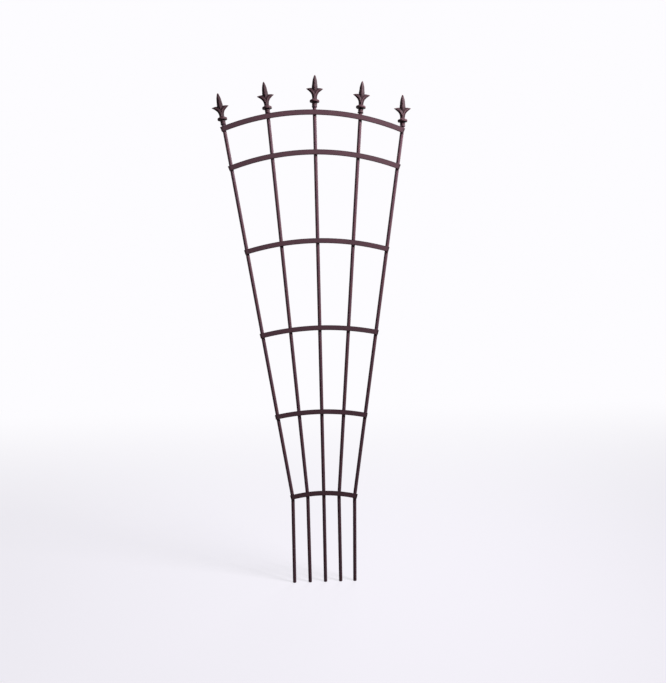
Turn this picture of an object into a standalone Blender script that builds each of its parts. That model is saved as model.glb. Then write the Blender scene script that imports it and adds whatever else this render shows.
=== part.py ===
"""Fan trellis for climbing plants, in welded steel with cast finials, 1.82 m tall.

Five round uprights stand side by side as prongs, bend just below the lowest band and fan
out above it. Six flat bands, each rolled edgeways to an arc, cross the fronts of the
uprights and are welded to them behind. The end of each upright enters the socket of a
cast finial, with a weld run round the socket's mouth.

Metres, +Z up, front towards -Y. The origin is the middle of the centre prong's foot, and
the axes of all the uprights lie in the plane y = 0.
"""
import math
from dataclasses import dataclass

import bmesh
import bpy
from mathutils import Matrix, Vector

MM = 0.001
INCH = 25.4 * MM
CLEARANCE = 0.3 * MM

# Uprights: round bar, numbered from left to right
UPRIGHT_DIAMETER = 13 * MM
UPRIGHT_COUNT = 5
UPRIGHT_SIDES = 16
PRONG_SPACING = 57 * MM
FAN_STEP = math.radians(4.2)
BEND_BELOW_CREST = 18 * MM
BEND_RADIUS = 60 * MM
BEND_STEPS = 4

# How far each upright was set to the right of its even place, and how far it leans from its even fan
FOOT_STRAYS = [-1.6 * MM, -0.4 * MM, 0, -0.2 * MM, -4 * MM]
BEND_STRAYS = [1.4 * MM, -0.6 * MM, 1.5 * MM, 0.4 * MM, 0.9 * MM]
LEAN_STRAYS = [math.radians(stray) for stray in (-0.08, 0.0, 0.03, 0.11, -0.17)]

# Upright ends: the turn just above the top band, to the right, and the run to the socket
TIP_TURNS = [math.radians(turn) for turn in (-0.1, -2.0, 2.0, 0.3, -7.5)]
TIP_RUNS = [8.7 * MM, 3.9 * MM, 13 * MM, 9.9 * MM, 7.8 * MM]
TIP_BEND_RADIUS = 20 * MM

# Bands: flat bar on edge, numbered from the top down
BAND_HEIGHT = 17.5 * MM
BAND_THICKNESS = 3 * MM
BAND_EDGE_BREAK = 0.5 * MM
BAND_SEGMENT = 26 * MM
BAND_PITCH = 12 * INCH
TOP_PAIR_GAP = 132 * MM
LOWEST_CREST = 345 * MM

# Each band as it was rolled and set: its radius, its slope down to the right and its crest's stray
BAND_RADII = [850 * MM, 840 * MM, 905 * MM, 950 * MM, 810 * MM, 503 * MM]
BAND_TILTS = [math.radians(tilt) for tilt in (1.6, 0.6, 0.1, -0.5, 0.2, 0.3)]
CREST_STRAYS = [-0.4 * MM, -1.1 * MM, 1.4 * MM, -0.3 * MM, -0.2 * MM, -0.2 * MM]

# How far each band was left to run past the outer side of the first and of the last upright
LEFT_OVERHANGS = [4 * MM, 2.5 * MM, 1.2 * MM, 1.8 * MM, 1.8 * MM, 0.7 * MM]
RIGHT_OVERHANGS = [0.2 * MM, 1.5 * MM, 0.4 * MM, 1.2 * MM, 0.5 * MM, 2.2 * MM]

# Welds between bands and uprights, one fillet at each crossing
JOINT_WELD_INSET = 2 * MM
JOINT_WELD_LEG = 3 * MM
JOINT_WELD_CROWN = 0.4 * MM
JOINT_WELD_END_SCALE = 0.55
JOINT_WELD_CLIMB = math.radians(65)
JOINT_WELD_ARC_STEPS = 4

# Finial: socket, collar and neck
FINIAL_SIDES = 16
SOCKET_WALL = 2 * MM
SOCKET_LENGTH = 11 * MM
SOCKET_FLOOR = 1.5 * MM
COLLAR_DIAMETER = 34 * MM
COLLAR_HEIGHT = 14 * MM
COLLAR_RIM = 4 * MM
NECK_WIDTH = 16 * MM
NECK_LENGTH = 7 * MM

# Finial: the spear and the two petals, with heights taken from the top of the neck
SPEAR_LENGTH = 71 * MM
SPEAR_WIDTH = 20.5 * MM
SPEAR_THICKNESS = 13 * MM
SPEAR_ROOT = 6 * MM
SPEAR_SHOULDER = 30 * MM
SPEAR_POINT = 1.6 * MM
SPEAR_EDGE = 3 * MM
PETAL_SPAN = 58 * MM
PETAL_RISE = 25.5 * MM
PETAL_SHOULDER = 28 * MM
PETAL_THICKNESS = 11 * MM
PETAL_TIP_THICKNESS = 4 * MM
PETAL_EDGE = 2 * MM
PETAL_LAP = 0.5 * MM
PETAL_STEPS = 6

# Weld round the mouth of each socket, run by hand to its own height and fullness
SOCKET_WELD_HEIGHTS = [4 * MM, 2.2 * MM, 5.5 * MM, 4.8 * MM, 4.2 * MM]
SOCKET_WELD_CROWNS = [1 * MM, 0.5 * MM, 0.8 * MM, 2.2 * MM, 1.4 * MM]
SOCKET_WELD_TOE = 0.6 * MM
SOCKET_WELD_STEPS = 5

# Sizes that follow from the ones above
UPRIGHT_RADIUS = UPRIGHT_DIAMETER / 2
CENTRE_UPRIGHT = (UPRIGHT_COUNT + 1) / 2
JOINT_WELD_LENGTH = BAND_HEIGHT - 2 * JOINT_WELD_INSET
BEND_HEIGHT = LOWEST_CREST - BEND_BELOW_CREST
BAND_BACK = -(UPRIGHT_RADIUS + CLEARANCE)
BAND_FRONT = BAND_BACK - BAND_THICKNESS
SOCKET_BORE_RADIUS = UPRIGHT_RADIUS + CLEARANCE
SOCKET_RADIUS = SOCKET_BORE_RADIUS + SOCKET_WALL
SOCKET_DEPTH = SOCKET_LENGTH - SOCKET_FLOOR
NECK_TOP = SOCKET_LENGTH + COLLAR_HEIGHT + NECK_LENGTH

POWDER_COAT = ("powder_coated_steel", (0.062, 0.034, 0.040), 0.45, 0.2)
CAST_FINISH = ("powder_coated_casting", (0.070, 0.038, 0.044), 0.5, 0.2)
WELD_FINISH = ("powder_coated_weld", (0.050, 0.028, 0.033), 0.55, 0.2)


def heading(lean):
    """Direction that leans to the right of upright by this angle."""
    return Vector((math.sin(lean), 0, math.cos(lean)))


def rightward(lean):
    """Direction to the right of heading(lean), square to it in the trellis plane."""
    return Vector((math.cos(lean), 0, -math.sin(lean)))


@dataclass(frozen=True)
class Upright:
    """One round bar, from its foot in the ground to its end in a finial."""

    number: int
    foot_stray: float
    bend_stray: float
    lean_stray: float
    tip_turn: float
    tip_run: float
    weld_height: float
    weld_crown: float

    @property
    def place(self):
        """Number of spacings to the right of the centre upright."""
        return self.number - CENTRE_UPRIGHT

    @property
    def foot(self):
        return Vector((self.place * PRONG_SPACING + self.foot_stray, 0, 0))

    @property
    def bend(self):
        return Vector((self.place * PRONG_SPACING + self.bend_stray, 0, BEND_HEIGHT))

    @property
    def lean(self):
        return self.place * FAN_STEP + self.lean_stray

    @property
    def tip_lean(self):
        return self.lean + self.tip_turn

    @property
    def knee(self):
        """Where the end turns, at the top edge of the top band."""
        return crossing(BANDS[0], self) + heading(self.lean) * BAND_HEIGHT / 2

    @property
    def socket_mouth(self):
        return self.knee + heading(self.tip_lean) * self.tip_run

    @property
    def end(self):
        return self.socket_mouth + heading(self.tip_lean) * (SOCKET_DEPTH - CLEARANCE)


@dataclass(frozen=True)
class Band:
    """One flat bar rolled to an arc, with its crest above the part's origin."""

    number: int
    crest: float
    radius: float
    tilt: float
    left_overhang: float
    right_overhang: float

    @property
    def centre(self):
        crest = Vector((0, 0, self.crest))
        return crest - heading(self.tilt) * self.radius

    def angle(self, point):
        """Angle of a point about the arc's centre, from straight up to the right."""
        offset = point - self.centre
        return math.atan2(offset.x, offset.z)


def crossing(band, upright):
    """Point on the upright's axis that the middle of the band passes over."""
    direction = heading(upright.lean)
    offset = upright.bend - band.centre
    along = offset.dot(direction)
    reach = math.sqrt(along ** 2 - offset.length_squared + band.radius ** 2)
    return upright.bend + direction * (reach - along)


def make_bands():
    """List the bands from the top down."""
    crests = [LOWEST_CREST + BAND_PITCH * step for step in range(len(BAND_TILTS) - 1)]
    crests.append(crests[-1] + TOP_PAIR_GAP)
    crests.reverse()
    bands = []
    as_made = zip(crests, CREST_STRAYS, BAND_RADII, BAND_TILTS, LEFT_OVERHANGS, RIGHT_OVERHANGS)
    for number, (crest, stray, *rolled) in enumerate(as_made, start=1):
        bands.append(Band(number, crest + stray, *rolled))
    return bands


BANDS = make_bands()
UPRIGHTS = [
    Upright(number, *as_made)
    for number, as_made in enumerate(
        zip(
            FOOT_STRAYS,
            BEND_STRAYS,
            LEAN_STRAYS,
            TIP_TURNS,
            TIP_RUNS,
            SOCKET_WELD_HEIGHTS,
            SOCKET_WELD_CROWNS,
        ),
        start=1,
    )
]


def clear_scene():
    for item in list(bpy.data.objects):
        bpy.data.objects.remove(item, do_unlink=True)


def finish_material(finish):
    """Find or make the Principled material of a finish."""
    name, colour, roughness, metallic = finish
    material = bpy.data.materials.get(name)
    if material is None:
        material = bpy.data.materials.new(name)
        material.use_nodes = True
        shader = material.node_tree.nodes["Principled BSDF"]
        shader.inputs["Base Color"].default_value = (*colour, 1)
        shader.inputs["Roughness"].default_value = roughness
        shader.inputs["Metallic"].default_value = metallic
        material.diffuse_color = (*colour, 1)
    return material


def loft(name, rings, closed=False):
    """Mesh that joins rings of equally many points, capped unless it closes on itself."""
    shape = bmesh.new()
    loops = [[shape.verts.new(point) for point in ring] for ring in rings]
    pairs = list(zip(loops, loops[1:]))
    if closed:
        pairs.append((loops[-1], loops[0]))
    for lower, upper in pairs:
        for index in range(len(lower)):
            before = index - 1
            shape.faces.new((lower[before], lower[index], upper[index], upper[before]))
    if not closed:
        shape.faces.new(loops[0])
        shape.faces.new(loops[-1])
    bmesh.ops.recalc_face_normals(shape, faces=shape.faces)
    mesh = bpy.data.meshes.new(name)
    shape.to_mesh(mesh)
    shape.free()
    mesh.shade_smooth()
    mesh.set_sharp_from_angle(angle=math.radians(32))
    return mesh


def add_node(name, mesh, finish, place=Matrix.Identity(4)):
    """Put a named object in the scene with its finish."""
    node = bpy.data.objects.new(name, mesh)
    bpy.context.collection.objects.link(node)
    node.matrix_world = place
    if not mesh.materials:
        mesh.materials.append(finish_material(finish))
    return node


def circle(centre, lean, radius, sides):
    """Points of a circle square to heading(lean)."""
    across = rightward(lean)
    depth = Vector((0, 1, 0))
    turns = [2 * math.pi * side / sides for side in range(sides)]
    return [centre + (across * math.cos(turn) + depth * math.sin(turn)) * radius for turn in turns]


def bent_path(corners, bend_radii):
    """Stations, each a point and its lean, on straight runs joined by round bends."""
    leans = [math.atan2((end - start).x, (end - start).z) for start, end in zip(corners, corners[1:])]
    # The first end is cut level
    stations = [(corners[0], 0)]
    for corner, before, after, radius in zip(corners[1:-1], leans, leans[1:], bend_radii):
        turn = after - before
        side = math.copysign(radius, turn)
        setback = radius * math.tan(abs(turn) / 2)
        if setback < CLEARANCE / 10:
            continue
        centre = corner - heading(before) * setback + rightward(before) * side
        for step in range(BEND_STEPS + 1):
            lean = before + turn * step / BEND_STEPS
            stations.append((centre - rightward(lean) * side, lean))
    stations.append((corners[-1], leans[-1]))
    return stations


def add_upright(upright):
    """Round bar from the foot, round the bend and past the knee into the socket."""
    corners = [upright.foot, upright.bend, upright.knee, upright.end]
    stations = bent_path(corners, [BEND_RADIUS, TIP_BEND_RADIUS])
    rings = [circle(point, lean, UPRIGHT_RADIUS, UPRIGHT_SIDES) for point, lean in stations]
    add_node(f"upright_{upright.number}", loft("round_bar", rings), POWDER_COAT)


def band_section(band, angle):
    """Corners of the flat bar's section, with its edges broken, at an angle on the arc."""
    inner = band.radius - BAND_HEIGHT / 2
    outer = band.radius + BAND_HEIGHT / 2
    edge = BAND_EDGE_BREAK
    corners = [
        (inner + edge, BAND_BACK),
        (outer - edge, BAND_BACK),
        (outer, BAND_BACK - edge),
        (outer, BAND_FRONT + edge),
        (outer - edge, BAND_FRONT),
        (inner + edge, BAND_FRONT),
        (inner, BAND_FRONT + edge),
        (inner, BAND_BACK - edge),
    ]
    centre = band.centre
    outward = heading(angle)
    return [centre + outward * radius + Vector((0, depth, 0)) for radius, depth in corners]


def add_band(band):
    """Flat bar over all the uprights, with a short end past each outer one."""
    left = (UPRIGHT_RADIUS + band.left_overhang) / band.radius
    right = (UPRIGHT_RADIUS + band.right_overhang) / band.radius
    start = band.angle(crossing(band, UPRIGHTS[0])) - left
    end = band.angle(crossing(band, UPRIGHTS[-1])) + right
    steps = max(4, math.ceil((end - start) * band.radius / BAND_SEGMENT))
    angles = [start + (end - start) * step / steps for step in range(steps + 1)]
    rings = [band_section(band, angle) for angle in angles]
    add_node(f"band_{band.number}", loft("flat_bar", rings), POWDER_COAT)


def joint_weld_section(side):
    """Fillet between a band's back and one side of an upright, as across and depth."""
    near = UPRIGHT_RADIUS + CLEARANCE
    start = math.acos(UPRIGHT_RADIUS / near)
    sweep = JOINT_WELD_CLIMB - start
    turns = [start + sweep * step / JOINT_WELD_ARC_STEPS for step in range(JOINT_WELD_ARC_STEPS + 1)]
    outline = [Vector((math.sin(turn), -math.cos(turn))) * near for turn in turns]
    toe = Vector((UPRIGHT_RADIUS + JOINT_WELD_LEG, -UPRIGHT_RADIUS))
    face = toe - outline[-1]
    crown = Vector((-face.y, face.x)).normalized() * JOINT_WELD_CROWN
    outline.append((toe + outline[-1]) / 2 + crown)
    outline.append(toe)
    return [Vector((point.x * side, point.y)) for point in outline]


def add_joint_weld(band, upright):
    """Fillet weld behind one crossing, on the side of the upright nearer the centre."""
    side = 1 if upright.place <= 0 else -1
    section = joint_weld_section(side)
    middle = sum(section, Vector((0, 0))) / len(section)
    half = JOINT_WELD_LENGTH / 2
    stations = [(-half, JOINT_WELD_END_SCALE), (-half / 2, 1), (half / 2, 1), (half, JOINT_WELD_END_SCALE)]
    centre = crossing(band, upright)
    rings = []
    for along, scale in stations:
        start = centre + heading(upright.lean) * along
        points = [middle + (point - middle) * scale for point in section]
        rings.append([start + rightward(upright.lean) * p.x + Vector((0, p.y, 0)) for p in points])
    name = f"weld_band_{band.number}_upright_{upright.number}"
    add_node(name, loft("joint_weld", rings), WELD_FINISH)


def add_socket_weld(upright):
    """Bead round the upright under the mouth of its socket, from the socket's side to a thin toe."""
    near = UPRIGHT_RADIUS + CLEARANCE
    toe = near + SOCKET_WELD_TOE
    profile = [(near, -CLEARANCE)]
    for step in range(SOCKET_WELD_STEPS + 1):
        share = step / SOCKET_WELD_STEPS
        crown = upright.weld_crown * math.sin(math.pi * share)
        radius = SOCKET_RADIUS + (toe - SOCKET_RADIUS) * share + crown
        profile.append((radius, -CLEARANCE - upright.weld_height * share))
    profile.append((near, -CLEARANCE - upright.weld_height))
    up = heading(0)
    rings = [circle(up * height, 0, radius, UPRIGHT_SIDES) for radius, height in profile]
    place = Matrix.Translation(upright.socket_mouth) @ Matrix.Rotation(upright.tip_lean, 4, "Y")
    add_node(f"weld_socket_{upright.number}", loft("socket_weld", rings, closed=True), WELD_FINISH, place)


def finial_stem():
    """Socket, collar and neck, turned about the finial's axis, with the socket's blind bore."""
    neck = NECK_WIDTH / 2
    collar_middle = SOCKET_LENGTH + COLLAR_HEIGHT / 2
    profile = [
        (SOCKET_BORE_RADIUS, SOCKET_DEPTH),
        (SOCKET_BORE_RADIUS, 0),
        (SOCKET_RADIUS, 0),
        (SOCKET_RADIUS, SOCKET_LENGTH),
        (COLLAR_DIAMETER / 2, collar_middle - COLLAR_RIM / 2),
        (COLLAR_DIAMETER / 2, collar_middle + COLLAR_RIM / 2),
        (neck, SOCKET_LENGTH + COLLAR_HEIGHT),
        (neck * 0.7, NECK_TOP - NECK_LENGTH / 2),
        (neck * 0.5, NECK_TOP),
    ]
    up = heading(0)
    return loft("finial_stem", [circle(up * height, 0, radius, FINIAL_SIDES) for radius, height in profile])


def ridged_section(left, ridge, right, edge, thickness):
    """Six-sided section, thin at its left and right edges and thick along its ridge."""
    sides = [(left, edge), (ridge, thickness), (right, edge)]
    front = [point - Vector((0, depth / 2, 0)) for point, depth in sides]
    back = [point + Vector((0, depth / 2, 0)) for point, depth in sides]
    return front + back[::-1]


def finial_spear():
    """Ridged blade, from its root between the petals to its point."""
    flare = SPEAR_SHOULDER - SPEAR_ROOT
    blade = SPEAR_LENGTH - SPEAR_SHOULDER
    outline = [
        (SPEAR_ROOT, 0.10),
        (SPEAR_ROOT + flare * 0.6, 0.70),
        (SPEAR_SHOULDER, 1.0),
        (SPEAR_SHOULDER + blade * 0.2, 0.90),
        (SPEAR_SHOULDER + blade * 0.5, 0.78),
        (SPEAR_SHOULDER + blade * 0.72, 0.56),
        (SPEAR_SHOULDER + blade * 0.9, 0.33),
        (SPEAR_LENGTH, SPEAR_POINT / SPEAR_WIDTH),
    ]
    rings = []
    for height, share in outline:
        ridge = Vector((0, 0, NECK_TOP + height))
        half = Vector((SPEAR_WIDTH / 2 * share, 0, 0))
        thickness = SPEAR_THICKNESS * min(1, share + 0.15)
        edge = min(SPEAR_EDGE, thickness / 2)
        rings.append(ridged_section(ridge - half, ridge, ridge + half, edge, thickness))
    return loft("finial_spear", rings)


def bezier(points, share):
    """Point on the Bezier curve through these control points."""
    while len(points) > 1:
        points = [start.lerp(end, share) for start, end in zip(points, points[1:])]
    return points[0]


def finial_petal(side):
    """Ridged petal that curves out of the neck to one side and droops at its tip."""
    half_neck = NECK_WIDTH / 2
    half_span = PETAL_SPAN / 2
    root = -NECK_LENGTH - COLLAR_HEIGHT / 6
    tip = (half_span, PETAL_RISE)
    under = [
        (half_neck - CLEARANCE, root),
        (half_neck * 0.76, PETAL_RISE * 0.47),
        (half_span * 0.59, PETAL_RISE * 0.64),
        tip,
    ]
    # The two ridges run up the neck as one, then part into a V
    ridge = [(-PETAL_LAP, root), (-PETAL_LAP, PETAL_RISE * 0.34), (-PETAL_LAP, PETAL_RISE * 0.88), tip]
    over = [
        (-half_neck * 0.4, 0),
        (-half_span * 0.25, PETAL_SHOULDER * 1.33),
        (half_span * 0.61, PETAL_SHOULDER * 0.98),
        tip,
    ]
    runs = [[Vector((x * side, 0, NECK_TOP + z)) for x, z in curve] for curve in (under, ridge, over)]
    rings = []
    for step in range(PETAL_STEPS + 1):
        share = step / PETAL_STEPS
        # The tip stops just short of the curves' common end, so that its section is not a line
        at = min(share, 1 - SPEAR_POINT / half_span)
        thickness = PETAL_THICKNESS + (PETAL_TIP_THICKNESS - PETAL_THICKNESS) * share
        rings.append(ridged_section(*(bezier(run, at) for run in runs), PETAL_EDGE, thickness))
    return loft("finial_petal", rings)


def finial_mesh():
    """One casting: the stem, the spear and both petals joined into a single body."""
    stem = add_node("finial_stem", finial_stem(), CAST_FINISH)
    additions = [
        add_node("finial_spear", finial_spear(), CAST_FINISH),
        add_node("finial_petal_left", finial_petal(-1), CAST_FINISH),
        add_node("finial_petal_right", finial_petal(1), CAST_FINISH),
    ]
    for addition in additions:
        union = stem.modifiers.new(addition.name, "BOOLEAN")
        union.operation = "UNION"
        union.solver = "EXACT"
        union.object = addition
    shape = stem.evaluated_get(bpy.context.evaluated_depsgraph_get())
    mesh = bpy.data.meshes.new_from_object(shape)
    mesh.name = "finial"
    mesh.shade_smooth()
    mesh.set_sharp_from_angle(angle=math.radians(32))
    for piece in [stem, *additions]:
        bpy.data.objects.remove(piece, do_unlink=True)
    return mesh


def add_finial(upright, mesh):
    """Finial with its socket over the end of an upright."""
    place = Matrix.Translation(upright.socket_mouth) @ Matrix.Rotation(upright.tip_lean, 4, "Y")
    add_node(f"finial_{upright.number}", mesh, CAST_FINISH, place)


def build():
    clear_scene()
    casting = finial_mesh()
    for upright in UPRIGHTS:
        add_upright(upright)
        add_finial(upright, casting)
        add_socket_weld(upright)
    for band in BANDS:
        add_band(band)
        for upright in UPRIGHTS:
            add_joint_weld(band, upright)


build()
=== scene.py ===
"""Looks for a fan trellis of welded steel with sand-cast finials, powder coated rust brown.

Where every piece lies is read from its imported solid. Each is then made again with the edges
and surface of the real one: sheared round bar, rolled flat bar with eased edges, castings
with soft ridges and a parting line, and weld beads with their ripples.
"""

import logging
import math
from dataclasses import dataclass, field
from enum import Enum
from functools import partial
from typing import Callable, Sequence

import bpy
import numpy as np
from bpy.types import ID, Material, Mesh, Node, NodeSocket, NodeTree, Object
from mathutils import Matrix, Vector, noise


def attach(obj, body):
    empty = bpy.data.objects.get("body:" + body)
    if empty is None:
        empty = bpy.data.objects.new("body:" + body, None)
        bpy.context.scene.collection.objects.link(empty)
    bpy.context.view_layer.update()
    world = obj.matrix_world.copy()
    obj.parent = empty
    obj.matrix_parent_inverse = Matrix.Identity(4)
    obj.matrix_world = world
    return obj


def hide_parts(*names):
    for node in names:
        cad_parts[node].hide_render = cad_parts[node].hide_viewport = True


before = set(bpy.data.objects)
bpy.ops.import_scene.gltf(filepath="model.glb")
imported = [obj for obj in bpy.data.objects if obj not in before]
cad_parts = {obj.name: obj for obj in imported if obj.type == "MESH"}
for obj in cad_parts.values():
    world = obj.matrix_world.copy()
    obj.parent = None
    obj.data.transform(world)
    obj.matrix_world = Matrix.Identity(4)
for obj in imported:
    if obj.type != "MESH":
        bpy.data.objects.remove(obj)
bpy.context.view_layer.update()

MM = 0.001
# Packed points that lie this close together in one direction count as level
LEVEL = 0.01 * MM
BODY = "root"
LOG = logging.getLogger("trellis")


class Slot(Enum):
    """Material slots of the part, one for each kind of steel under the coat."""

    BAR = "powder_coated_bar"
    BAND = "powder_coated_band"
    CASTING = "powder_coated_casting"
    WELD = "powder_coated_weld"


class Ray(Enum):
    """Kinds of ray that meet the pale background in place of the lit room."""

    CAMERA = "Is Camera Ray"
    GLOSSY = "Is Glossy Ray"
    TRANSMISSION = "Is Transmission Ray"


# Steps, directions and colours


def shares(steps: int) -> list[float]:
    """Shares of a run from 0 to 1, in equal steps."""
    return [step / steps for step in range(steps + 1)]


def heading(lean: float) -> Vector:
    """Direction in the trellis plane that leans to the right of upright by this angle."""
    return Vector((math.sin(lean), 0, math.cos(lean)))


def rightward(lean: float) -> Vector:
    """Direction to the right of heading(lean), square to it in the trellis plane."""
    return Vector((math.cos(lean), 0, -math.sin(lean)))


def lean_of(direction: Vector) -> float:
    """Angle to the right of upright of a direction in the trellis plane."""
    return math.atan2(direction.x, direction.z)


def linear(colour: str) -> tuple[float, float, float, float]:
    """Turn an sRGB hex colour to the linear one that a shader takes.

    Args:
        colour: Six hex digits after a hash, such as "#5A434A".

    Returns:
        Red, green, blue and an alpha of 1.
    """
    coded = [int(colour[place:place + 2], 16) / 255 for place in (1, 3, 5)]
    # The sRGB curve has a straight foot and a power above it
    lit = [value / 12.92 if value <= 0.04045 else ((value + 0.055) / 1.055) ** 2.4 for value in coded]
    return (*lit, 1.0)


# Shader and mesh tools


def add_node(
    tree: NodeTree, kind: str, settings: dict[str, object] | None = None, **inputs: object
) -> Node:
    """Add a shader node with its settings and links.

    Args:
        tree: Tree that the node goes into.
        kind: Its type after the word ShaderNode, such as "TexNoise".
        settings: Properties of the node itself, such as an operation.
        inputs: Sockets by name with _ for each space, or i0, i1 by place. Each has a value, or
            the output socket that is linked to it.

    Returns:
        The new node.
    """
    node = tree.nodes.new("ShaderNode" + kind)
    for name, value in (settings or {}).items():
        setattr(node, name, value)
    for name, value in inputs.items():
        by_place = name[0] == "i" and name[1:].isdigit()
        socket = node.inputs[int(name[1:]) if by_place else name.replace("_", " ")]
        if isinstance(value, NodeSocket):
            tree.links.new(value, socket)
        else:
            socket.default_value = value
    return node


def smooth_mesh(name: str, points: Sequence, faces: Sequence, sharp_above: float = 38.0) -> Mesh:
    """Make a mesh that is shaded smooth, apart from its sharp edges.

    Args:
        name: Name of the mesh.
        points: Its points, in metres.
        faces: Point numbers of each face, so that it faces outward.
        sharp_above: Angle in degrees past which an edge stays sharp.

    Returns:
        The mesh.
    """
    mesh = bpy.data.meshes.new(name)
    mesh.from_pydata([tuple(point) for point in points], [], [tuple(face) for face in faces])
    mesh.shade_smooth()
    mesh.set_sharp_from_angle(angle=math.radians(sharp_above))
    return mesh


def loft(name: str, rings: Sequence[Sequence[Vector]], closed: bool = False) -> Mesh:
    """Join rings of equally many points into a closed skin.

    Args:
        name: Name of the mesh.
        rings: Rings in order, each running anticlockwise as seen from the last ring's side.
        closed: Whether the last ring joins the first, in place of a cap at each end.

    Returns:
        The mesh.
    """
    around = len(rings[0])
    points = [point for ring in rings for point in ring]
    pairs = [(at, at + 1) for at in range(len(rings) - 1)]
    if closed:
        pairs.append((len(rings) - 1, 0))
    faces = []
    for low, high in pairs:
        for index in range(around):
            after = (index + 1) % around
            faces.append((low * around + index, low * around + after,
                          high * around + after, high * around + index))
    if not closed:
        faces.append(tuple(reversed(range(around))))
        faces.append(tuple(range(len(points) - around, len(points))))
    return smooth_mesh(name, points, faces)


def circle(
    centre: Vector, lean: float, radius: float | Callable[[float], float], sides: int
) -> list[Vector]:
    """Points of a ring square to heading(lean).

    Args:
        centre: Middle of the ring.
        lean: Lean of its axis.
        radius: Its radius, or a function that gives it at an angle from the right to the back.
        sides: Number of points.

    Returns:
        The points, anticlockwise as seen from above.
    """
    across, depth = rightward(lean), Vector((0, 1, 0))
    points = []
    for share in shares(sides)[:-1]:
        turn = 2 * math.pi * share
        reach = radius(turn) if callable(radius) else radius
        points.append(centre + (across * math.cos(turn) + depth * math.sin(turn)) * reach)
    return points


def add_object(name: str, data: ID) -> Object:
    """Put an object into the scene.

    Args:
        name: Name of the object.
        data: Its mesh, lamp or lens.

    Returns:
        The object.
    """
    thing = bpy.data.objects.new(name, data)
    bpy.context.scene.collection.objects.link(thing)
    return thing


def add_piece(name: str, mesh: Mesh, material: Material, node: str) -> None:
    """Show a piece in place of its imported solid, riding on the trellis.

    Args:
        name: Name of the piece.
        mesh: Its mesh, in place.
        material: Its finish.
        node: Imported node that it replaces.
    """
    piece = add_object(name, mesh)
    mesh.materials.append(material)
    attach(piece, BODY)
    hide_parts(node)
    LOG.info("%s: %d faces, %s", name, len(mesh.polygons), material.name)


def node_points(node: str) -> np.ndarray:
    """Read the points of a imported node, to a micrometre and without repeats.

    Args:
        node: Name of the node.

    Returns:
        The points, one to a row, in metres.
    """
    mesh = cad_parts[node].data
    flat = np.zeros(len(mesh.vertices) * 3)
    mesh.vertices.foreach_get("co", flat)
    return np.unique(flat.reshape(-1, 3).round(6), axis=0)


# Finishes


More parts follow.
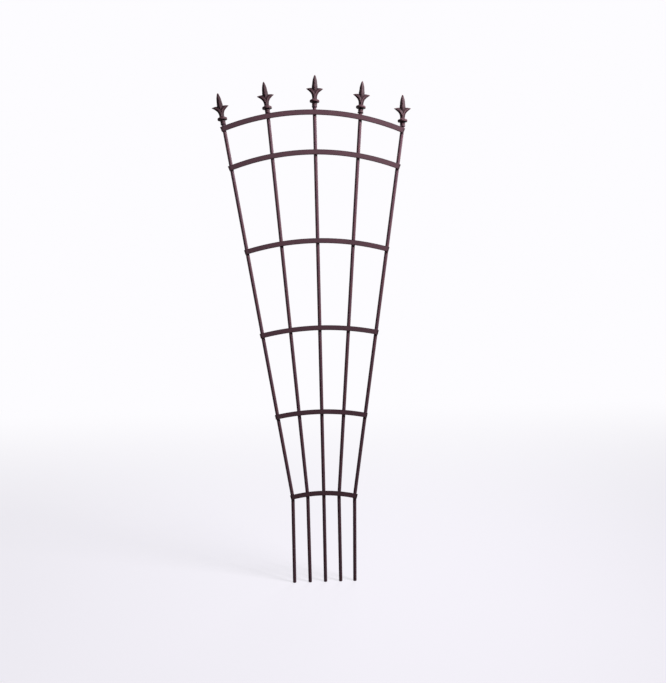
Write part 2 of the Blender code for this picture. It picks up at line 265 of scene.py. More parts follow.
@dataclass(frozen=True)
class CoatedSteel:
    """Polyester powder coat, sprayed dry and baked on, over one kind of steel surface.

    The film gives a satin brown with a faint mottle where it is thicker or thinner, and an
    orange-peel ripple. The grain of the surface under it shows through.
    """

    name: str
    colour: str = "#583F49"
    thin_colour: str = "#5E4046"
    # Painted shade in each hollow and along edges, and a painted highlight on ridges
    painted_shade_colour: str = "#2C1B21"
    painted_highlight_colour: str = "#7E626C"
    roughness: float = 0.50
    roughness_spread: float = 0.08
    # Resin reflects 4%, but the fine texture of the film traps most of that
    specular_level: float = 0.15
    mottle_mm: float = 38.0
    # Values of the mottle's noise that give the one colour and the other
    mottle_span: tuple[float, float] = (0.42, 0.66)
    # The gloss varies over about a centimetre, fully between these values of its noise
    haze_mm: tuple[float, float, float] = (9.0, 9.0, 14.0)
    haze_span: tuple[float, float] = (0.3, 0.7)
    # Orange peel is about 1 mm from crest to crest, too fine to show from a step away
    peel_mm: float = 1.1
    peel_height_mm: float = 0.012
    grain_mm: tuple[float, float, float] = (1.0, 1.0, 1.0)
    grain_height_mm: float = 0.02
    # Only a casting has a line where the halves of its mould met, and painted shade on the thin edges
    # along it.
    # Their distances from the trellis plane are where each is whole and where it ends
    parting_line: bool = False
    line_mm: tuple[float, float] = (0.15, 0.6)
    line_height_mm: float = 0.2
    line_strength: float = 0.6
    shaded_edge_mm: tuple[float, float] = (1.4, 3.0)

    @staticmethod
    def pattern(tree: NodeTree, size_mm: Sequence[float], detail: float) -> NodeSocket:
        """Noise in the part's own axes.

        Args:
            tree: Tree of the material.
            size_mm: Size of its grain along X, Y and Z, in millimetres.
            detail: Number of finer layers.

        Returns:
            The noise's value, about 0.5 on average.
        """
        place = add_node(tree, "TexCoord").outputs["Object"]
        scale = [1 / (size * MM) for size in size_mm]
        mapping = add_node(tree, "Mapping", Vector=place, Scale=scale)
        grains = add_node(tree, "TexNoise", Vector=mapping.outputs[0], Scale=1.0, Detail=detail)
        return grains.outputs["Fac"]

    @staticmethod
    def near_parting(tree: NodeTree, reach_mm: tuple[float, float]) -> NodeSocket:
        """Nearness of a surface to the trellis plane, where the halves of the mould met.

        Args:
            tree: Tree of the material.
            reach_mm: Distance up to which it is 1 and distance from which it is 0, in millimetres.

        Returns:
            The nearness.
        """
        place = add_node(tree, "TexCoord").outputs["Object"]
        depth = add_node(tree, "SeparateXYZ", Vector=place).outputs["Y"]
        away = add_node(tree, "Math", {"operation": "ABSOLUTE"}, i0=depth).outputs[0]
        full, none = (distance * MM for distance in reach_mm)
        return add_node(tree, "MapRange", i0=away, i1=full, i2=none, i3=1.0, i4=0.0).outputs[0]

    def film_colour_with_painted_light(self, tree: NodeTree) -> NodeSocket:
        """Mottle the brown by the film's thickness, with painted shade in each hollow and along edges
        and a painted highlight on ridges.

        Args:
            tree: Tree of the material.

        Returns:
            The colour.
        """
        mottle = self.pattern(tree, (self.mottle_mm,) * 3, detail=4.0)
        low, high = self.mottle_span
        thin = add_node(tree, "MapRange", i0=mottle, i1=low, i2=high).outputs[0]
        # The mesh's painted light: painted shade where it is above 0, and a painted highlight where it
        # is below
        painted_shade_and_highlight = add_node(tree, "Attribute", {"attribute_name": "painted_shade_and_highlight"}).outputs["Fac"]
        painted_highlight = add_node(tree, "Math", {"operation": "MULTIPLY"}, i0=painted_shade_and_highlight, i1=-1.0).outputs[0]
        if self.parting_line:
            # Painted shade darkens a casting's thin edges too
            edge = self.near_parting(tree, self.shaded_edge_mm)
            painted_shade_and_highlight = add_node(tree, "Math", {"operation": "MAXIMUM"}, i0=painted_shade_and_highlight, i1=edge).outputs[0]
        shown = linear(self.colour)
        layers = ((thin, self.thin_colour), (painted_shade_and_highlight, self.painted_shade_colour), (painted_highlight, self.painted_highlight_colour))
        for share, colour in layers:
            # A mix of colours takes them at inputs 6 and 7, and gives the result at output 2
            mix = add_node(tree, "Mix", {"data_type": "RGBA"}, i0=share, i6=shown, i7=linear(colour))
            shown = mix.outputs[2]
        return shown

    def relief(self, tree: NodeTree) -> NodeSocket:
        """Raise the steel's own grain, and the film's ripple over it.

        Args:
            tree: Tree of the material.

        Returns:
            The normal.
        """
        grain = self.pattern(tree, self.grain_mm, detail=3.0)
        under = add_node(tree, "Bump", Strength=1.0, Distance=self.grain_height_mm * MM, Height=grain)
        if self.parting_line:
            line = self.near_parting(tree, self.line_mm)
            under = add_node(tree, "Bump", Strength=self.line_strength,
                             Distance=self.line_height_mm * MM, Height=line,
                             Normal=under.outputs[0])
        peel = self.pattern(tree, (self.peel_mm,) * 3, detail=1.0)
        over = add_node(tree, "Bump", Strength=1.0, Distance=self.peel_height_mm * MM, Height=peel,
                        Normal=under.outputs[0])
        return over.outputs[0]

    def material(self) -> Material:
        """Make the finish as a Principled material.

        Returns:
            The material.
        """
        material = bpy.data.materials.new(self.name)
        material.use_nodes = True
        tree = material.node_tree
        shader = tree.nodes["Principled BSDF"]
        shader.inputs["IOR"].default_value = 1.5
        shader.inputs["Specular IOR Level"].default_value = self.specular_level
        shader.inputs["Metallic"].default_value = 0.0
        tree.links.new(self.film_colour_with_painted_light(tree), shader.inputs["Base Color"])
        haze = self.pattern(tree, self.haze_mm, detail=3.0)
        low, high = self.haze_span
        rough = add_node(tree, "MapRange", i0=haze, i1=low, i2=high,
                         i3=self.roughness - self.roughness_spread,
                         i4=self.roughness + self.roughness_spread)
        tree.links.new(rough.outputs[0], shader.inputs["Roughness"])
        tree.links.new(self.relief(tree), shader.inputs["Normal"])
        return material


# Round bar drawn through a die keeps faint lines along its length under the coat
DRAWN_BAR = CoatedSteel("powder_coat_on_drawn_bar", grain_mm=(0.9, 0.9, 70.0), grain_height_mm=0.05)
# Hot-rolled flat bar has shallow pits of mill scale, a few millimetres across, and is duller
ROLLED_BAR = CoatedSteel("powder_coat_on_rolled_bar", colour="#543D44", thin_colour="#593E46",
                         roughness=0.52, grain_mm=(4.0, 4.0, 2.5), grain_height_mm=0.10)
# Grey iron cast in green sand keeps the sand's grain, under 1 mm, drawn a little coarser to show
# Its painted shade is near black and its painted highlight pale
SAND_CASTING = CoatedSteel("powder_coat_on_sand_casting", colour="#322025", thin_colour="#39262B",
                           painted_shade_colour="#0C0305", painted_highlight_colour="#87636A", roughness=0.60,
                           grain_mm=(1.2, 1.2, 1.2), grain_height_mm=0.16, parting_line=True)
# A wire weld cools in smooth ripples, and the coat pools in them, glossier and darker
WELD_BEAD = CoatedSteel("powder_coat_on_weld_bead", colour="#432F37", thin_colour="#4A353D",
                        roughness=0.38, grain_mm=(2.0, 2.0, 2.0), grain_height_mm=0.08)


# Round uprights


@dataclass
class RoundBar:
    """One upright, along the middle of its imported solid."""

    number: int
    radius: float
    route: list[Vector]
    sides: int = 40
    # A sheared bar is rounded a little at its cut
    cut_round: float = 0.8 * MM
    cut_steps: int = 4
    run_step: float = 45 * MM

    @classmethod
    def from_node(cls, number: int) -> "RoundBar":
        """Read the bar's route, which its foremost points follow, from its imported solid.

        Args:
            number: Number of the upright from the left.

        Returns:
            The bar.
        """
        points = node_points(f"upright_{number}")
        radius = -points[:, 1].min()
        foremost = points[points[:, 1] < LEVEL - radius]
        route = [Vector((x, 0, z)) for x, _, z in foremost[np.argsort(foremost[:, 2])]]
        return cls(number, radius, route)

    @property
    def end_lean(self) -> float:
        """Lean of the bar's end, which its finial shares."""
        return lean_of(self.route[-1] - self.route[-2])

    def at_height(self, height: float) -> tuple[Vector, float]:
        """Find the middle of the bar and its lean at a height.

        Args:
            height: Height above the feet, in metres.

        Returns:
            The point and the lean in radians.
        """
        for low, high in zip(self.route, self.route[1:]):
            if height <= high.z or high is self.route[-1]:
                share = (height - low.z) / (high.z - low.z)
                return low.lerp(high, share), lean_of(high - low)
        raise ValueError("the bar has no run")

    def stations(self) -> list[tuple[Vector, float]]:
        """Cut each long run of the route into short ones.

        Returns:
            Middles and leans of the bar along the route.
        """
        leans = [lean_of(high - low) for low, high in zip(self.route, self.route[1:])]
        found = []
        for at, point in enumerate(self.route):
            beside = leans[max(at - 1, 0):at + 1]
            found.append((point, sum(beside) / len(beside)))
            if at < len(leans):
                gap = self.route[at + 1] - point
                cuts = int(gap.length / self.run_step)
                found += [(point + gap * share, leans[at]) for share in shares(cuts + 1)[1:-1]]
        return found

    def mesh(self) -> Mesh:
        """Sweep the bar's round section along its route, with its cut foot rounded.

        Returns:
            The mesh.
        """
        stations = self.stations()
        foot, lean = stations[0]
        rings = []
        for share in shares(self.cut_steps):
            turn = math.pi / 2 * share
            inset = self.cut_round * (1 - math.sin(turn))
            rise = self.cut_round * (1 - math.cos(turn))
            # The foot is cut level, whatever the bar's lean
            rings.append(circle(foot + heading(lean) * rise, 0, self.radius - inset, self.sides))
        rings += [circle(point, lean, self.radius, self.sides) for point, lean in stations[1:]]
        return loft(f"round_bar_{self.number}", rings)


# Flat bands


@dataclass
class FlatBand:
    """One band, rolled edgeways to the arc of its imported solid."""

    number: int
    centre: Vector
    inner: float
    outer: float
    front: float
    back: float
    start: float
    end: float
    # Rolling leaves the long edges rounded, and the ends are sawn square
    edge_round: float = 0.8 * MM
    edge_steps: int = 4
    # Only the front and the back are wider than this, and are cut into strips
    narrow_face: float = 3.2 * MM
    face_steps: int = 6
    run_step: float = 9 * MM
    end_round: float = 0.4 * MM
    # How far in from each edge painted shade darkens the band
    shade_rim_width: float = 2.4 * MM

    @classmethod
    def from_node(cls, number: int, bar_radius: float) -> "FlatBand":
        """Read the band's arc from the two rows of points along its packed front.

        Args:
            number: Number of the band from the top.
            bar_radius: Radius of the uprights, which the band's back meets.

        Returns:
            The band.
        """
        points = node_points(f"band_{number}")
        front = points[:, 1].min()
        rows = points[points[:, 1] < front + LEVEL]
        rows = rows[np.argsort(rows[:, 0])]
        middles = (rows[0::2] + rows[1::2]) / 2
        first, crest, last = (middles[at][[0, 2]] for at in (0, len(middles) // 2, -1))
        # The arc's centre is equally far from its two ends and its crest
        square = np.array([2 * (crest - first), 2 * (last - first)])
        sums = np.array([crest @ crest - first @ first, last @ last - first @ first])
        x, z = np.linalg.solve(square, sums)
        offsets = points[:, [0, 2]] - (x, z)
        reaches = np.hypot(*offsets.T)
        angles = np.arctan2(*offsets.T)
        return cls(number, Vector((x, 0, z)), reaches.min(), reaches.max(), front, -bar_radius,
                   angles.min(), angles.max())

    def section(self) -> list[tuple[float, float]]:
        """Outline the bar's section, with its four long edges rounded.

        Returns:
            Radius and depth of the outline's points.
        """
        corner = self.edge_round
        corners = [
            (self.outer - corner, self.front + corner, -90),
            (self.outer - corner, self.back - corner, 0),
            (self.inner + corner, self.back - corner, 90),
            (self.inner + corner, self.front + corner, 180),
        ]
        outline = []
        for radius, depth, start in corners:
            for share in shares(self.edge_steps):
                turn = math.radians(start + 90 * share)
                outline.append((radius + corner * math.cos(turn), depth + corner * math.sin(turn)))
        faced = []
        for (radius, depth), (next_radius, _) in zip(outline, outline[1:] + outline[:1]):
            faced.append((radius, depth))
            if abs(next_radius - radius) > self.narrow_face:
                for share in shares(self.face_steps)[1:-1]:
                    faced.append((radius + (next_radius - radius) * share, depth))
        return faced

    def mesh(self) -> Mesh:
        """Sweep the section round the arc, drawn in a little at both cut ends.

        Returns:
            The mesh.
        """
        outline = self.section()
        middle_radius, middle_depth = (self.inner + self.outer) / 2, (self.front + self.back) / 2
        length = (self.end - self.start) * middle_radius
        runs = round(length / self.run_step)
        # Shares of the arc, each with how far the section is drawn in there
        marks = [(0, self.end_round), (self.end_round / length, 0)]
        marks += [(share, 0) for share in shares(runs)[1:-1]]
        marks += [(1 - self.end_round / length, 0), (1, self.end_round)]
        rings, edge_shade = [], []
        for share, inset in marks:
            outward = heading(self.start + (self.end - self.start) * share)
            ring = []
            for radius, depth in outline:
                from_middle = Vector((radius - middle_radius, depth - middle_depth))
                drawn = from_middle * (1 - inset / from_middle.length)
                point = self.centre + outward * (middle_radius + drawn.x)
                ring.append(point + Vector((0, middle_depth + drawn.y, 0)))
                # Painted shade along the band's edges and cut ends, fading in over this width
                from_end = min(share, 1 - share) * length
                from_edge = min(radius - self.inner, self.outer - radius, from_end)
                edge_shade.append(max(0.0, 1 - from_edge / self.shade_rim_width))
            rings.append(ring)
        mesh = loft(f"flat_bar_{self.number}", rings)
        mesh.attributes.new("painted_shade_and_highlight", "FLOAT", "POINT").data.foreach_set("value", edge_shade)
        return mesh


# Cast finials


@dataclass
class Casting:
    """One fleur-de-lis finial on the end of an upright, with heights from its socket's mouth."""

    number: int
    mouth: Vector
    lean: float
    socket_radius: float = 8.8 * MM
    bore_radius: float = 6.8 * MM
    bore_depth: float = 9.5 * MM
    # The bore's bottom closes on the axis with a ring too small to see
    axis_radius: float = 0.05 * MM
    mouth_round: float = 0.7 * MM
    socket_length: float = 11 * MM
    # How far the plain stem stops short of the collar, under and over it
    cove: float = 1.0 * MM
    collar_radius: float = 16.8 * MM
    collar_height: float = 14 * MM
    # Heights about the collar's middle as shares of half its height, each with its swell
    collar_profile: tuple[tuple[float, float], ...] = (
        (-0.90, 0.06), (-0.88, 0.40), (-0.81, 0.71), (-0.71, 0.92), (-0.56, 1.0), (0.02, 1.0),
        (0.16, 0.93), (0.31, 0.74), (0.48, 0.46), (0.64, 0.20), (0.80, 0.06),
    )
    neck_radius: float = 8.5 * MM
    # The petals' ridged roots are the neck's surface, round this core with its tapered top
    core_radius: float = 5.5 * MM
    core_taper: float = 3.5 * MM
    neck_top: float = 32 * MM
    spear_root: float = 6 * MM
    spear_shoulder: float = 30 * MM
    spear_length: float = 71 * MM
    spear_width: float = 20.5 * MM
    spear_thickness: float = 13 * MM
    spear_edge: float = 3 * MM
    # Shares of the run from root to shoulder, and from shoulder to point, each with its
    # share of the width
    spear_flare: tuple[tuple[float, float], ...] = ((0.0, 0.06), (0.35, 0.42), (0.68, 0.80))
    spear_blade: tuple[tuple[float, float], ...] = (
        (0.0, 1.0), (0.10, 0.97), (0.20, 0.90), (0.33, 0.85), (0.48, 0.79), (0.60, 0.70),
        (0.72, 0.56), (0.82, 0.44), (0.90, 0.33), (0.96, 0.20), (1.0, 0.08),
    )
    # The spear thins toward its ends less than it narrows, and its edges are never thicker
    # than this share of its ridge
    spear_body: float = 0.12
    spear_edge_share: float = 0.6
    petal_root: float = -9.3 * MM
    petal_span: float = 60 * MM
    # Share of its run at which a petal is cut off blunt
    petal_end: float = 0.975
    petal_rise: float = 25.5 * MM
    petal_shoulder: float = 28 * MM
    petal_thickness: float = 16 * MM
    petal_tip_thickness: float = 4 * MM
    # Power of the run by which a petal thins, more and more toward its tip
    petal_thinning: float = 1.5
    petal_edge: float = 2.0 * MM
    # How far the ridges of the two petals pass each other on the neck
    petal_lap: float = 0.5 * MM
    petal_steps: int = 18
    # The facets between an edge and a ridge are a little full, as a modelled leaf is
    fullness: float = 0.06
    turned_sides: int = 48
    # Fettling and sand leave no edge sharper than about half a millimetre
    skin_step: float = 0.6 * MM
    soften_share: float = 0.5
    soften_rounds: int = 3
    # Depth of a point under its neighbours' mean that counts as a sharp hollow
    sharp_hollow: float = 0.065 * MM
    hollow_rounds: int = 3
    # No two castings are quite alike: each takes its own place in one pattern of swells
    uneven: float = 0.18 * MM
    uneven_size: float = 9 * MM
    uneven_place: tuple[float, float, float] = (31.7, 12.9, 5.3)

    @classmethod
    def from_node(cls, bar: RoundBar) -> "Casting":
        """Seat the finial on the end of its upright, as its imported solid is.

        Args:
            bar: The upright.

        Returns:
            The casting.
        """
        lean = bar.end_lean
        end = bar.route[-1]
        axis = np.array(heading(lean))
        along = (node_points(f"finial_{bar.number}") - np.array(end)) @ axis
        return cls(bar.number, end + heading(lean) * along.min(), lean)

    def stem(self) -> Mesh:
        """Turn the socket, collar and neck about the finial's axis.

        Returns:
            The mesh.
        """
        half = self.collar_height / 2
        middle = self.socket_length + half
        profile = [
            (self.axis_radius, self.bore_depth), (self.bore_radius, self.bore_depth),
            (self.bore_radius, 0.0), (self.socket_radius - self.mouth_round, 0.0),
            (self.socket_radius, self.mouth_round), (self.socket_radius, self.socket_length - self.cove),
        ]
        # The collar has a flat underside, a rim with eased corners and a slope above
        for rise, swell in self.collar_profile:
            root = self.socket_radius if rise < 0 else self.neck_radius
            profile.append((root + (self.collar_radius - root) * swell, middle + half * rise))
        profile += [
            (self.core_radius, middle + half + self.cove),
            (self.core_radius, self.neck_top - self.core_taper),
            (self.core_radius / 2, self.neck_top),
        ]
        rings = [circle(heading(0) * height, 0, radius, self.turned_sides) for radius, height in profile]
        return loft("stem", rings)

    def ridged_section(
        self, left: Vector, ridge: Vector, right: Vector, edge: float, thickness: float
    ) -> list[Vector]:
        """Section with thin left and right edges and a ridge in front and behind.

        Args:
            left: Left edge.
            ridge: Place of both ridges.
            right: Right edge.
            edge: Thickness at the edges.
            thickness: Thickness at the ridge.

        Returns:
            Twelve points, anticlockwise as seen from above.
        """
        half = []
        for start, end, first, last in ((left, ridge, edge, thickness), (ridge, right, thickness, edge)):
            for share in (0.0, 1 / 3, 2 / 3):
                bulge = self.fullness * math.sin(math.pi * share) * thickness
                half.append((start.lerp(end, share), first + (last - first) * share + bulge))
        half.append((right, edge))
        front = [point - Vector((0, depth / 2, 0)) for point, depth in half]
        back = [point + Vector((0, depth / 2, 0)) for point, depth in half]
        return front + back[::-1]

    def spear(self) -> Mesh:
        """Loft the spear from its root between the petals to its blunt point.

        Returns:
            The mesh.
        """
        flare = self.spear_shoulder - self.spear_root
        blade = self.spear_length - self.spear_shoulder
        outline = [(self.spear_root + flare * run, share) for run, share in self.spear_flare]
        outline += [(self.spear_shoulder + blade * run, share) for run, share in self.spear_blade]
        rings = []
        for height, share in outline:
            ridge = Vector((0, 0, self.neck_top + height))
            half = Vector((self.spear_width / 2 * share, 0, 0))
            thickness = self.spear_thickness * min(1.0, share + self.spear_body)
            edge = min(self.spear_edge, thickness * self.spear_edge_share)
            rings.append(self.ridged_section(ridge - half, ridge, ridge + half, edge, thickness))
        return loft("spear", rings)

    def petal(self, side: int) -> Mesh:
        """Loft the petal that curves out to one side.

        Args:
            side: 1 for the right and -1 for the left.

        Returns:
            The petal's mesh.
        """
        half_span, rise, shoulder = self.petal_span / 2, self.petal_rise, self.petal_shoulder
        # Control points of the petal's lower edge, ridge and upper edge, from the neck's top
        tip = (half_span, rise)
        under = [(self.neck_radius, self.petal_root), (self.neck_radius * 0.85, rise * 0.45),
                 (half_span * 0.60, rise * 0.61), tip]
        # The two ridges run up the neck as one, then part into a V half way up each petal
        ridge = [(-self.petal_lap, self.petal_root), (self.petal_lap, rise * 0.14),
                 (half_span * 0.26, rise * 0.95), tip]
        over = [(-self.neck_radius * 0.4, 0.0), (-half_span * 0.25, shoulder * 1.33),
                (half_span * 0.61, shoulder * 0.98), tip]
        fall = self.petal_thickness - self.petal_tip_thickness
        rings = []
        for share in shares(self.petal_steps):
            at = min(share, self.petal_end)
            lines = [bezier([Vector((x * side, 0, self.neck_top + z)) for x, z in run], at)
                     for run in (under, ridge, over)]
            thickness = self.petal_thickness - fall * share ** self.petal_thinning
            left, middle, right = lines if side < 0 else lines[::-1]
            rings.append(self.ridged_section(left, middle, right, self.petal_edge, thickness))
        return loft("petal", rings)

    def shade_and_highlight_of(self, mesh: Mesh) -> np.ndarray:
        """Find how hollow the casting is at each point, for painted shade in each hollow and a painted
        highlight on each ridge.

        Args:
            mesh: The casting's skin.

        Returns:
            A value for each point: 1 in a sharp hollow, 0 on a flat and -1 on a sharp ridge.
        """
        spots = np.array([vertex.co for vertex in mesh.vertices])
        normals = np.array([normal.vector for normal in mesh.vertex_normals])
        ends = np.array([edge.vertices for edge in mesh.edges])
        links = np.bincount(ends.ravel(), minlength=len(spots))[:, None]

        def beside(values: np.ndarray) -> np.ndarray:
            """Mean of each point's neighbours."""
            total = np.zeros_like(values)
            np.add.at(total, ends[:, 0], values[ends[:, 1]])
            np.add.at(total, ends[:, 1], values[ends[:, 0]])
            return total / links

        depth = ((beside(spots) - spots) * normals).sum(axis=1, keepdims=True) / self.sharp_hollow
        for _ in range(self.hollow_rounds):
            depth = (depth + beside(depth)) / 2
        return np.clip(depth.ravel(), -1.0, 1.0)

    def mesh(self) -> Mesh:
        """Fuse the shells as one casting, soften it, make it uneven and seat it.

        Returns:
            The mesh.
        """
        shells = [self.stem(), self.spear(), self.petal(-1), self.petal(1)]
        points, faces = [], []
        for shell in shells:
            faces += [[len(points) + at for at in face.vertices] for face in shell.polygons]
            points += [vertex.co for vertex in shell.vertices]
        pattern = add_object("pattern", smooth_mesh("pattern", points, faces))
        skin = pattern.modifiers.new("skin", "REMESH")
        skin.mode = "VOXEL"
        skin.voxel_size = self.skin_step
        skin.use_smooth_shade = True
        soften = pattern.modifiers.new("soften", "SMOOTH")
        soften.factor = self.soften_share
        soften.iterations = self.soften_rounds
        shape = pattern.evaluated_get(bpy.context.evaluated_depsgraph_get())
        mesh = bpy.data.meshes.new_from_object(shape)
        bpy.data.objects.remove(pattern, do_unlink=True)
        mesh.name = f"casting_{self.number}"
        # Painted shade in each hollow and a painted highlight on each ridge
        mesh.attributes.new("painted_shade_and_highlight", "FLOAT", "POINT").data.foreach_set("value", self.shade_and_highlight_of(mesh))
        place = Vector(self.uneven_place) * self.number
        spots = [vertex.co.copy() for vertex in mesh.vertices]
        outward = [normal.vector.copy() for normal in mesh.vertex_normals]
        lifted = [spot + away * (self.uneven * noise.noise(spot / self.uneven_size + place))
                  for spot, away in zip(spots, outward)]
        mesh.vertices.foreach_set("co", np.array(lifted).ravel())
        mesh.transform(Matrix.Translation(self.mouth) @ Matrix.Rotation(self.lean, 4, "Y"))
        return mesh


def bezier(points: Sequence[Vector], share: float) -> Vector:
    """Find a point on a Bezier curve.

    Args:
        points: The curve's control points.
        share: Share of its run.

    Returns:
        The point.
    """
    while len(points) > 1:
        points = [start.lerp(end, share) for start, end in zip(points, points[1:])]
    return points[0]


# Weld beads


@dataclass
class FilletBead:
    """Bead behind one crossing, in the corner of the upright's side and the band's back."""

    node: str
    middle: Vector
    lean: float
    side: int
    length: float
    leg: float
    bar_radius: float
    # A wire weld advances about 1.5 mm between one ripple and the next
    ripple: float = 1.5 * MM
    ripple_height: float = 0.22 * MM
    steps: int = 34
    arc_steps: int = 10
    root_steps: int = 4
    crown: float = 0.5 * MM
    # The bead lies on the bar between these angles from its front, and where it is thinnest
    # it climbs only this share of the way
    foot_angle: float = math.radians(6)
    climb_angle: float = math.radians(64)
    least_climb: float = 0.6
    # Its ends are blunt and round, by this power of the run, and this full at the least
    end_power: float = 3.2
    end_fullness: float = 0.25
    sink: float = 0.3 * MM

    @classmethod
    def from_node(cls, band: int, bar: RoundBar) -> "FilletBead":
        """Measure the bead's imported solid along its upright.

        Args:
            band: Number of the band from the top.
            bar: The upright.

        Returns:
            The bead.
        """
        node = f"weld_band_{band}_upright_{bar.number}"
        points = node_points(node)
        low, high = points.min(0), points.max(0)
        centre, lean = bar.at_height((low[2] + high[2]) / 2)
        offsets = points - np.array(centre)
        along = offsets @ np.array(heading(lean))
        across = offsets @ np.array(rightward(lean))
        side = 1 if across.mean() > 0 else -1
        middle = centre + heading(lean) * (along.max() + along.min()) / 2
        leg = abs(across).max() - bar.radius
        return cls(node, middle, lean, side, along.max() - along.min(), leg, bar.radius)

    def section(self, fullness: float) -> list[Vector]:
        """Outline the bead's section across the upright.

        Args:
            fullness: Share of the full bead, less at its ends and in its ripples.

        Returns:
            Points round the bead, as across and depth, anticlockwise as seen from above.
        """
        near = self.bar_radius - self.sink
        climb = self.climb_angle * (self.least_climb + (1 - self.least_climb) * fullness)
        root = []
        for share in shares(self.root_steps):
            turn = climb + (self.foot_angle - climb) * share
            root.append(Vector((math.sin(turn), -math.cos(turn))) * near)
        toe = Vector((self.bar_radius + self.leg * fullness, -self.bar_radius - self.sink))
        rim = root[0]
        face = toe - rim
        outward = Vector((-face.y, face.x)).normalized()
        cap = []
        for share in shares(self.arc_steps)[1:-1]:
            swell = self.crown * fullness * math.sin(math.pi * share)
            cap.append(toe.lerp(rim, share) + outward * swell)
        return root + [toe] + cap

    def mesh(self) -> Mesh:
        """Sweep the section along the upright, with its ripples and rounded ends.

        Returns:
            The mesh.
        """
        rings = []
        for share in shares(self.steps):
            along = (share - 0.5) * self.length
            end = math.sqrt(max(0.0, 1 - abs(2 * share - 1) ** self.end_power))
            wave = abs(math.sin(math.pi * along / self.ripple))
            fullness = max(self.end_fullness, end) - self.ripple_height / self.leg * (1 - wave)
            start = self.middle + heading(self.lean) * along
            ring = [start + rightward(self.lean) * (point.x * self.side) + Vector((0, point.y, 0))
                    for point in self.section(fullness)]
            rings.append(ring if self.side > 0 else ring[::-1])
        return loft(self.node, rings)


@dataclass
class SocketBead:
    """Bead run by hand round the mouth of a finial's socket."""

    node: str
    mouth: Vector
    lean: float
    bar_radius: float
    socket_radius: float
    toe_radius: float
    height: float
    crown: float
    number: int
    least_crown: float = 0.3 * MM
    around: int = 72
    steps: int = 14
    # Lumps round the bar, raised more than sunk, and flatter at the bead's edges
    lumps: int = 11
    lump_height: float = 0.45 * MM
    lump_rise: float = 0.3
    lump_at_edges: float = 0.25
    # Each bead takes its own level in one pattern of lumps
    lump_place: float = 7.1
    sink: float = 0.25 * MM

    @classmethod
    def from_node(cls, bar: RoundBar, casting: Casting) -> "SocketBead":
        """Measure the bead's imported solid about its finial's axis.

        Args:
            bar: The upright.
            casting: The finial.

        Returns:
            The bead.
        """
        node = f"weld_socket_{bar.number}"
        axis = np.array(heading(casting.lean))
        offsets = node_points(node) - np.array(casting.mouth)
        along = offsets @ axis
        reaches = np.linalg.norm(offsets - np.outer(along, axis), axis=1)
        height = -along.min()
        toe = reaches[along < LEVEL - height].max()
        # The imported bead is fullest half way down, where the line from socket to toe is at its mean
        crown = reaches.max() - (casting.socket_radius + toe) / 2
        return cls(node, casting.mouth, casting.lean, bar.radius, casting.socket_radius, toe,
                   height, max(crown, cls.least_crown), bar.number)

    def reach(self, share: float, turn: float) -> float:
        """Find how far out the bead's skin is, with the lumps that the weld left.

        Args:
            share: Share of the way down from the socket to the bar.
            turn: Angle round the bar from the right to the back.

        Returns:
            The skin's distance from the bar's middle.
        """
        swell = math.sin(math.pi * share)
        spot = Vector((math.cos(turn), math.sin(turn), 0)) * self.lumps / 2
        spot += Vector((0, 0, share + self.lump_place * self.number))
        lump = self.lump_height * (noise.noise(spot) + self.lump_rise) * (self.lump_at_edges + swell)
        line = self.socket_radius + (self.toe_radius - self.socket_radius) * share
        return line + self.crown * swell + lump

    def mesh(self) -> Mesh:
        """Close a lumpy ring on itself, up its outside and down the bar.

        Returns:
            The mesh.
        """
        runs = [(share, partial(self.reach, share)) for share in reversed(shares(self.steps))]
        runs += [(share, self.bar_radius - self.sink) for share in (0.0, 1.0)]
        down = -heading(self.lean)
        rings = []
        for share, radius in runs:
            centre = self.mouth + down * (self.height * share - self.sink)
            rings.append(circle(centre, self.lean, radius, self.around))
        return loft(self.node, rings, closed=True)


# The trellis


@dataclass
class Trellis:
    """The whole trellis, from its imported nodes."""

    bar_count: int = 5
    band_count: int = 6
    bars: list[RoundBar] = field(default_factory=list)
    castings: list[Casting] = field(default_factory=list)

    def dress_uprights(self) -> None:
        """Make the round bars."""
        material = DRAWN_BAR.material()
        for bar in self.bars:
            add_piece(f"round_bar_{bar.number}", bar.mesh(), material, f"upright_{bar.number}")

    def dress_bands(self) -> None:
        """Make the flat bands."""
        material = ROLLED_BAR.material()
        for number in range(1, self.band_count + 1):
            band = FlatBand.from_node(number, self.bars[0].radius)
            add_piece(f"flat_band_{number}", band.mesh(), material, f"band_{number}")

    def dress_finials(self) -> None:
        """Make the castings."""
        material = SAND_CASTING.material()
        for casting in self.castings:
            name = f"cast_finial_{casting.number}"
            add_piece(name, casting.mesh(), material, f"finial_{casting.number}")

    def dress_welds(self) -> None:
        """Make the fillet beads and the beads round the sockets."""
        material = WELD_BEAD.material()
        for bar, casting in zip(self.bars, self.castings):
            ring = SocketBead.from_node(bar, casting)
            add_piece(f"socket_bead_{bar.number}", ring.mesh(), material, ring.node)
            for number in range(1, self.band_count + 1):
                bead = FilletBead.from_node(number, bar)
                name = f"fillet_bead_{number}_{bar.number}"
                add_piece(name, bead.mesh(), material, bead.node)

    def build(self) -> None:
        """Read where the uprights and finials are, then make every piece."""
        self.bars = [RoundBar.from_node(number) for number in range(1, self.bar_count + 1)]
        self.castings = [Casting.from_node(bar) for bar in self.bars]
        self.dress_uprights()
        self.dress_bands()
        self.dress_finials()
        self.dress_welds()


# Studio


@dataclass(frozen=True)
class SoftBox:
    """Square area lamp behind a diffuser."""

    name: str
    place: tuple[float, float, float]
    aim: tuple[float, float, float]
    size: float
    watts: float
    colour: str = "#FFFFFF"
    # Angle that a grid over the diffuser leaves the light, in degrees
    spread: float = 180.0

    def add(self) -> None:
        """Hang the lamp and turn it to what it lights."""
        lamp = bpy.data.lights.new(self.name, "AREA")
        lamp.shape = "SQUARE"
        lamp.size = self.size
        lamp.energy = self.watts
        lamp.spread = math.radians(self.spread)
        lamp.color = linear(self.colour)[:3]
        box = add_object(self.name, lamp)
        box.location = self.place
        direction = Vector(self.aim) - Vector(self.place)
        box.rotation_euler = direction.to_track_quat("-Z", "Y").to_euler()


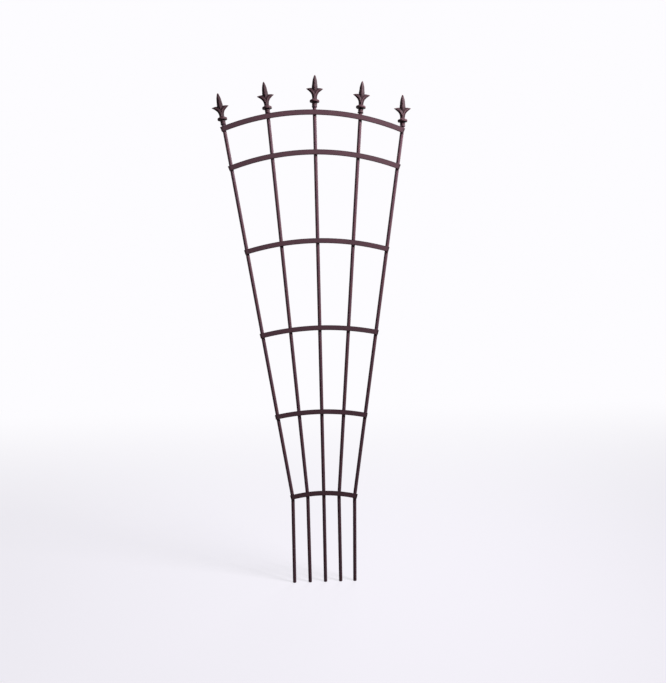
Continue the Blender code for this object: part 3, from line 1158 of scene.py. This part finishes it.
@dataclass(frozen=True)
class Camera:
    """The photograph's viewpoint, as fitted to the crossings, feet and tips."""

    target: tuple[float, float, float] = (0.048, 0.0, 0.903)
    distance: float = 2.2
    yaw: float = math.radians(-1.03)
    pitch: float = math.radians(6.46)
    roll: float = math.radians(-1.29)
    focal_pixels: float = 613.9
    picture_height: int = 683
    sensor: float = 36.0

    def add(self) -> None:
        """Set up the scene's camera."""
        lens = bpy.data.cameras.new("camera")
        lens.sensor_width = self.sensor
        lens.lens = self.focal_pixels * self.sensor / self.picture_height
        camera = add_object("camera", lens)
        level = math.cos(self.pitch)
        back = Vector((math.sin(self.yaw) * level, -math.cos(self.yaw) * level, math.sin(self.pitch)))
        right = Vector((0, 0, 1)).cross(back).normalized()
        up = back.cross(right)
        turned_right = right * math.cos(self.roll) + up * math.sin(self.roll)
        turned_up = up * math.cos(self.roll) - right * math.sin(self.roll)
        axes = Matrix((turned_right, turned_up, back)).transposed().to_4x4()
        camera.matrix_world = Matrix.Translation(Vector(self.target) + back * self.distance) @ axes
        bpy.context.scene.camera = camera


@dataclass(frozen=True)
class Studio:
    """Plain pale floor that fades to white, soft lamps and a white background."""

    floor_colour: str = "#F5F3FA"
    background_colour: str = "#FDFCFF"
    # The floor as it lights the trellis from below, much darker than it looks
    bounce_colour: str = "#3C2629"
    floor_half_width: float = 9.0
    # Distances behind the trellis where the floor starts to turn white, and where it is white
    fade_start: float = -0.2
    fade_end: float = 3.1
    # On the other sides it fades between these distances, so that no view shows its edge
    far_start: float = 2.5
    far_end: float = 8.0
    # Share of the floor seen at its own colour, however it is lit, which thins the shadow
    glow_share: float = 0.80
    room_light: float = 0.015
    lamps: tuple[SoftBox, ...] = (
        SoftBox("key_softbox", (1.4, -0.75, 2.6), (0.0, 0.0, 1.2), 0.5, 40.0, "#FFFBFF", 118.0),
        SoftBox("fill_softbox", (-0.9, -2.6, 1.7), (0.0, 0.0, 1.0), 1.6, 0.5),
        SoftBox("back_softbox", (0.9, 2.2, 2.4), (0.0, 0.0, 1.0), 1.4, 36.0),
    )

    @staticmethod
    def background_share(tree: NodeTree) -> NodeSocket:
        """Tell the rays that meet the background as white from those that light.

        Args:
            tree: Tree of the floor's material or of the world.

        Returns:
            1 for the rays that meet it as white, and 0 for the others.
        """
        path = add_node(tree, "LightPath")
        share = path.outputs[Ray.CAMERA.value]
        for ray in (Ray.GLOSSY, Ray.TRANSMISSION):
            both = {"i0": share, "i1": path.outputs[ray.value]}
            share = add_node(tree, "Math", {"operation": "MAXIMUM"}, **both).outputs[0]
        return share

    def add_world(self) -> None:
        """White for the eye, dimmer for what it lights."""
        world = bpy.data.worlds.new("studio")
        bpy.context.scene.world = world
        world.use_nodes = True
        tree = world.node_tree
        tree.nodes.clear()
        seen = add_node(tree, "Background", Color=linear(self.background_colour), Strength=1.0)
        lit = add_node(tree, "Background", Color=linear("#FFFFFF"), Strength=self.room_light)
        mix = add_node(tree, "MixShader", i0=self.background_share(tree), i1=lit.outputs[0],
                       i2=seen.outputs[0])
        add_node(tree, "OutputWorld", Surface=mix.outputs[0])

    def add_floor(self) -> None:
        """Lay the floor, which keeps the trellis's shadow."""
        half = self.floor_half_width
        corners = [(-half, -half, 0), (half, -half, 0), (half, half, 0), (-half, half, 0)]
        mesh = smooth_mesh("floor", corners, [(0, 1, 2, 3)])
        floor = add_object("floor", mesh)
        material = bpy.data.materials.new("studio_paper")
        material.use_nodes = True
        tree = material.node_tree
        tree.nodes.clear()
        paper = add_node(tree, "BsdfDiffuse", Color=linear(self.floor_colour))
        glow = add_node(tree, "Emission", Color=linear(self.floor_colour), Strength=1.0)
        white = add_node(tree, "Emission", Color=linear(self.background_colour), Strength=1.0)
        near = add_node(tree, "MixShader", i0=self.glow_share, i1=paper.outputs[0], i2=glow.outputs[0])
        place = add_node(tree, "NewGeometry").outputs["Position"]
        behind = add_node(tree, "SeparateXYZ", Vector=place).outputs["Y"]
        away = add_node(tree, "VectorMath", {"operation": "LENGTH"}, i0=place).outputs["Value"]
        fades = []
        for distance, start, end in ((behind, self.fade_start, self.fade_end),
                                     (away, self.far_start, self.far_end)):
            ramp = add_node(tree, "MapRange", {"interpolation_type": "SMOOTHSTEP"},
                            i0=distance, i1=start, i2=end)
            fades.append(ramp.outputs[0])
        fade = add_node(tree, "Math", {"operation": "MAXIMUM"}, i0=fades[0], i1=fades[1]).outputs[0]
        shown = add_node(tree, "MixShader", i0=fade, i1=near.outputs[0], i2=white.outputs[0])
        bounce = add_node(tree, "BsdfDiffuse", Color=linear(self.bounce_colour))
        mix = add_node(tree, "MixShader", i0=self.background_share(tree), i1=bounce.outputs[0],
                       i2=shown.outputs[0])
        add_node(tree, "OutputMaterial", Surface=mix.outputs[0])
        mesh.materials.append(material)

    def build(self) -> None:
        """Set up the background, the floor, the lamps and the way that colours are shown."""
        self.add_world()
        self.add_floor()
        for lamp in self.lamps:
            lamp.add()
        bpy.context.scene.view_settings.view_transform = "Standard"


def main() -> None:
    """Build the trellis and its studio."""
    logging.basicConfig(level=logging.INFO, format="%(message)s")
    Trellis().build()
    Studio().build()
    Camera().add()


if __name__ == "__main__":
    main()
